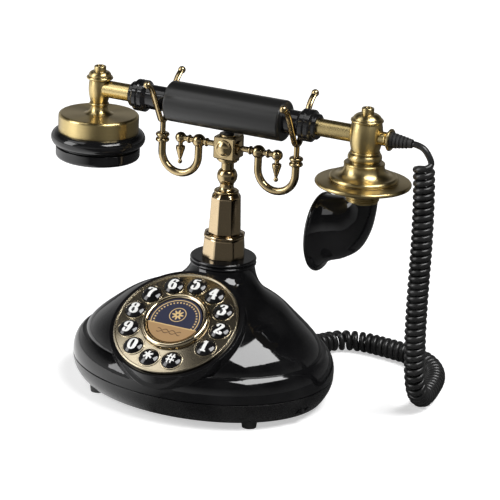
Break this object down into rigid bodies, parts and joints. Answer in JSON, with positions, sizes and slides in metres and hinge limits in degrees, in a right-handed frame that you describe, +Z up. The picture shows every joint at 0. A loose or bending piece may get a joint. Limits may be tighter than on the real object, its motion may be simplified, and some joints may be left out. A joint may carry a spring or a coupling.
{
  "type": "cradle telephone",
  "caption": "French-style cradle telephone: black bell-shaped base with a tilted push-button dial, brass column and hooks, lift-off handset with a curved mouthpiece horn and a curly cord.",
  "frame": {"origin": "on the table, under the middle of the telephone without its cord", "axes": "+X along the handset towards its mouth end, -Y the way the dial faces, +Z up"},
  "size_m": [0.2823, 0.2091, 0.2088],
  "materials": {
    "gloss_black": "piano black moulded plastic",
    "satin_black": "satin moulded black plastic",
    "grip_black": "satin black, fine lengthwise sheen",
    "key_black": "gloss black keycap with pale characters",
    "rubber": "matt black",
    "cord": "satin black flexible sheath",
    "inner_plastic": "moulded, unpolished",
    "steel": "plain",
    "ballast": "as cast",
    "board": "laminate",
    "dial_brass": "circular brushed antique brass",
    "bright_brass": "polished antique brass",
    "satin_brass": "satin antique brass",
    "dark_brass": "antique brass, darkened in its hollows",
    "label": "printed card under a clear face"
  },
  "bodies": {
    "base": {"base_pan": "satin_black", "upper_shell": "gloss_black", "rubber_feet": "rubber", "case_screws": "steel", "ballast_plate": "ballast", "main_board": "board", "ringer_speaker": "steel", "hook_switch": "inner_plastic", "line_jack": "inner_plastic", "handset_jack": "inner_plastic", "dial_plate": "dial_brass", "centre_ring": "bright_brass", "centre_label": "label", "key_mat": "rubber", "keypad_board": "board", "column_socket": "dark_brass", "column_shaft": "dark_brass", "column_finial": "dark_brass", "cradle_block": "dark_brass", "block_rosettes": "dark_brass", "left_arm": "dark_brass", "right_arm": "dark_brass", "pendants": "dark_brass", "left_hook": "dark_brass", "right_hook": "dark_brass", "left_fork": "dark_brass", "right_fork": "dark_brass", "handset_cord": "cord", "cord_plug": "inner_plastic"},
    "handset": {"grip": "grip_black", "left_ferrule": "gloss_black", "right_ferrule": "gloss_black", "handset_tube": "satin_brass", "ear_barrel": "satin_brass", "ear_finial": "satin_brass", "ear_drum": "satin_brass", "ear_cap": "gloss_black", "receiver_capsule": "steel", "mouth_barrel": "satin_brass", "mouth_finial": "satin_brass", "mouth_flange": "satin_brass", "horn": "gloss_black", "mic_capsule": "steel", "cord_nipple": "satin_brass", "strain_relief": "rubber"},
    "plunger": {"hook_plunger": "inner_plastic"},
    "ringer": {"ringer_slider": "satin_black"},
    "key_1": {"key_1": "key_black"},
    "key_2": {"key_2": "key_black"},
    "key_3": {"key_3": "key_black"},
    "key_4": {"key_4": "key_black"},
    "key_5": {"key_5": "key_black"},
    "key_6": {"key_6": "key_black"},
    "key_7": {"key_7": "key_black"},
    "key_8": {"key_8": "key_black"},
    "key_9": {"key_9": "key_black"},
    "key_0": {"key_0": "key_black"},
    "key_star": {"key_star": "key_black"},
    "key_hash": {"key_hash": "key_black"}
  },
  "joints": [
    {"name": "handset_lift", "type": "slide", "parent": "base", "child": "handset", "axis": [0, 0, 1], "range_m": [0, 0.1], "deforming": ["handset_cord"]},
    {"name": "plunger_slide", "type": "slide", "parent": "base", "child": "plunger", "axis": [0, 0, 1], "range_m": [0, 0.004]},
    {"name": "ringer_slide", "type": "slide", "parent": "base", "child": "ringer", "axis": [0, 1, 0], "range_m": [-0.002, 0.002]},
    {"name": "key_1_press", "type": "slide", "parent": "base", "child": "key_1", "axis": [0, 0.5344, -0.8453], "range_m": [0, 0.0016], "stiffness_N_per_m": 300, "springref_m": -0.001},
    {"name": "key_2_press", "type": "slide", "parent": "base", "child": "key_2", "axis": [0, 0.5344, -0.8453], "range_m": [0, 0.0016], "stiffness_N_per_m": 300, "springref_m": -0.001},
    {"name": "key_3_press", "type": "slide", "parent": "base", "child": "key_3", "axis": [0, 0.5344, -0.8453], "range_m": [0, 0.0016], "stiffness_N_per_m": 300, "springref_m": -0.001},
    {"name": "key_4_press", "type": "slide", "parent": "base", "child": "key_4", "axis": [0, 0.5344, -0.8453], "range_m": [0, 0.0016], "stiffness_N_per_m": 300, "springref_m": -0.001},
    {"name": "key_5_press", "type": "slide", "parent": "base", "child": "key_5", "axis": [0, 0.5344, -0.8453], "range_m": [0, 0.0016], "stiffness_N_per_m": 300, "springref_m": -0.001},
    {"name": "key_6_press", "type": "slide", "parent": "base", "child": "key_6", "axis": [0, 0.5344, -0.8453], "range_m": [0, 0.0016], "stiffness_N_per_m": 300, "springref_m": -0.001},
    {"name": "key_7_press", "type": "slide", "parent": "base", "child": "key_7", "axis": [0, 0.5344, -0.8453], "range_m": [0, 0.0016], "stiffness_N_per_m": 300, "springref_m": -0.001},
    {"name": "key_8_press", "type": "slide", "parent": "base", "child": "key_8", "axis": [0, 0.5344, -0.8453], "range_m": [0, 0.0016], "stiffness_N_per_m": 300, "springref_m": -0.001},
    {"name": "key_9_press", "type": "slide", "parent": "base", "child": "key_9", "axis": [0, 0.5344, -0.8453], "range_m": [0, 0.0016], "stiffness_N_per_m": 300, "springref_m": -0.001},
    {"name": "key_0_press", "type": "slide", "parent": "base", "child": "key_0", "axis": [0, 0.5344, -0.8453], "range_m": [0, 0.0016], "stiffness_N_per_m": 300, "springref_m": -0.001},
    {"name": "key_star_press", "type": "slide", "parent": "base", "child": "key_star", "axis": [0, 0.5344, -0.8453], "range_m": [0, 0.0016], "stiffness_N_per_m": 300, "springref_m": -0.001},
    {"name": "key_hash_press", "type": "slide", "parent": "base", "child": "key_hash", "axis": [0, 0.5344, -0.8453], "range_m": [0, 0.0016], "stiffness_N_per_m": 300, "springref_m": -0.001}
  ],
  "couplings": [
    {"joint": "plunger_slide", "follows": "handset_lift", "ratio": 0.04}
  ]
}
